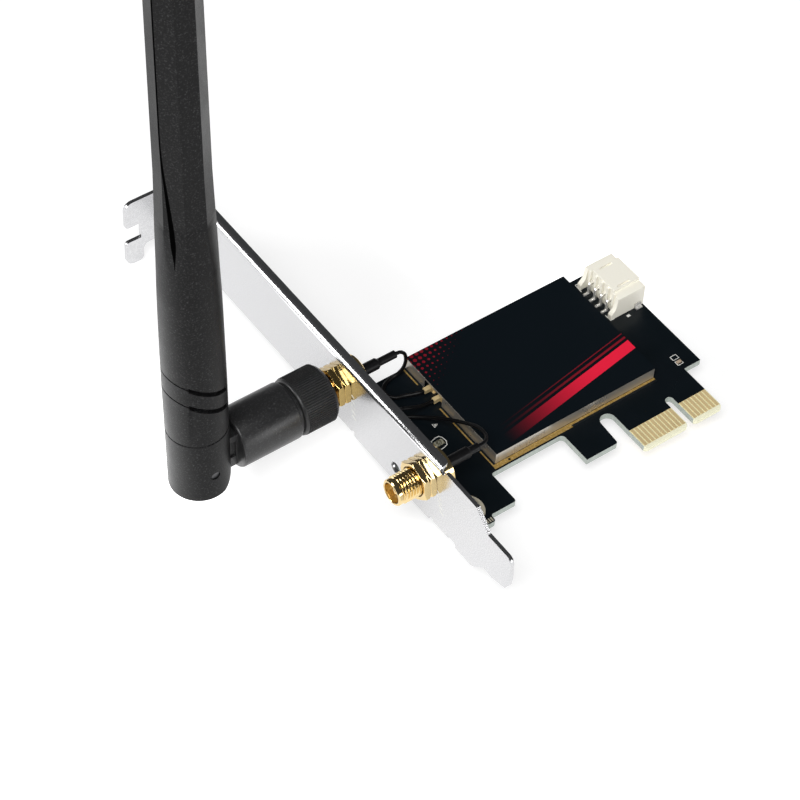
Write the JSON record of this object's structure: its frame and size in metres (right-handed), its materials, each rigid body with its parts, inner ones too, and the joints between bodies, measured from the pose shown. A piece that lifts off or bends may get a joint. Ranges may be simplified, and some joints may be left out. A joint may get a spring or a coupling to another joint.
{
  "type": "bluetooth adapter card",
  "caption": "Low-height wireless adapter card with a shielded radio, slot bracket, threaded antenna jacks and one hinged swivel antenna.",
  "frame": {"origin": "on the outer face of the bracket, level with the component side of the board and in line with the mask line of the edge fingers", "axes": "+X from the bracket along the card, +Y towards the screw tab, +Z out of the component side"},
  "size_m": [0.1137, 0.1207, 0.1801],
  "materials": {
    "bracket_steel": "bright nickel-plated sheet steel, finely brushed",
    "board_laminate": "black solder mask over glass laminate",
    "contact_gold": "thin gold plating",
    "pad_tin": "tinned pad",
    "screw_steel": "plated steel",
    "lamp_body": "clear epoxy on white",
    "ceramic": "ceramic chip",
    "can_steel": "tinned thin sheet",
    "label_film": "satin printed film",
    "chip_black": "moulded epoxy",
    "lead_jacket": "smooth black jacket",
    "sleeve_black": "shrunk polyolefin",
    "header_cream": "moulded cream nylon",
    "pin_tin": "tinned pins",
    "jack_gold": "gold-plated brass",
    "insulator_white": "white fluoropolymer",
    "collar_plastic": "ribbed moulded plastic",
    "plug_brass": "plain brass",
    "antenna_plastic": "finely textured moulded plastic",
    "pin_black": "blackened steel pin"
  },
  "bodies": {
    "card": {"bracket": "bracket_steel", "circuit_board": "board_laminate", "edge_contacts": "contact_gold", "mounting_pads": "pad_tin", "ground_rim": "contact_gold", "bracket_screws": "screw_steel", "status_led": "lamp_body", "edge_capacitor": "ceramic", "shield_can": "can_steel", "module_label": "label_film", "radio_chip": "chip_black", "clock_crystal": "can_steel", "upper_receptacle": "contact_gold", "lower_receptacle": "contact_gold", "upper_plug": "contact_gold", "lower_plug": "contact_gold", "upper_lead": "lead_jacket", "lower_lead": "lead_jacket", "upper_sleeve": "sleeve_black", "lower_sleeve": "sleeve_black", "header_housing": "header_cream", "header_pins": "pin_tin", "header_tabs": "pin_tin", "lower_jack_body": "jack_gold", "lower_jack_insulator": "insulator_white", "lower_jack_contact": "contact_gold", "lower_locknut": "jack_gold", "lower_front_nut": "jack_gold", "upper_jack_body": "jack_gold", "upper_jack_insulator": "insulator_white", "upper_jack_contact": "contact_gold", "upper_locknut": "jack_gold", "upper_front_nut": "jack_gold"},
    "collar": {"coupling_collar": "collar_plastic", "coupling_nut": "plug_brass"},
    "barrel": {"swivel_barrel": "antenna_plastic", "antenna_plug": "plug_brass", "plug_contact": "contact_gold"},
    "blade": {"hinge_yoke": "antenna_plastic", "hinge_pin": "pin_black", "antenna_blade": "antenna_plastic", "radiator": "plug_brass"}
  },
  "joints": [
    {"name": "collar_turn", "type": "hinge", "parent": "card", "child": "collar", "pos_m": [-0.0078, 0.03707, 0.0095], "axis": [-1, 0, 0], "continuous": true},
    {"name": "antenna_swivel", "type": "hinge", "parent": "card", "child": "barrel", "pos_m": [-0.013, 0.03707, 0.0095], "axis": [-1, 0, 0], "continuous": true},
    {"name": "antenna_tilt", "type": "hinge", "parent": "barrel", "child": "blade", "pos_m": [-0.0341, 0.03707, 0.0095], "axis": [0, -1, 0], "range_deg": [-1.4, 88.6]}
  ]
}
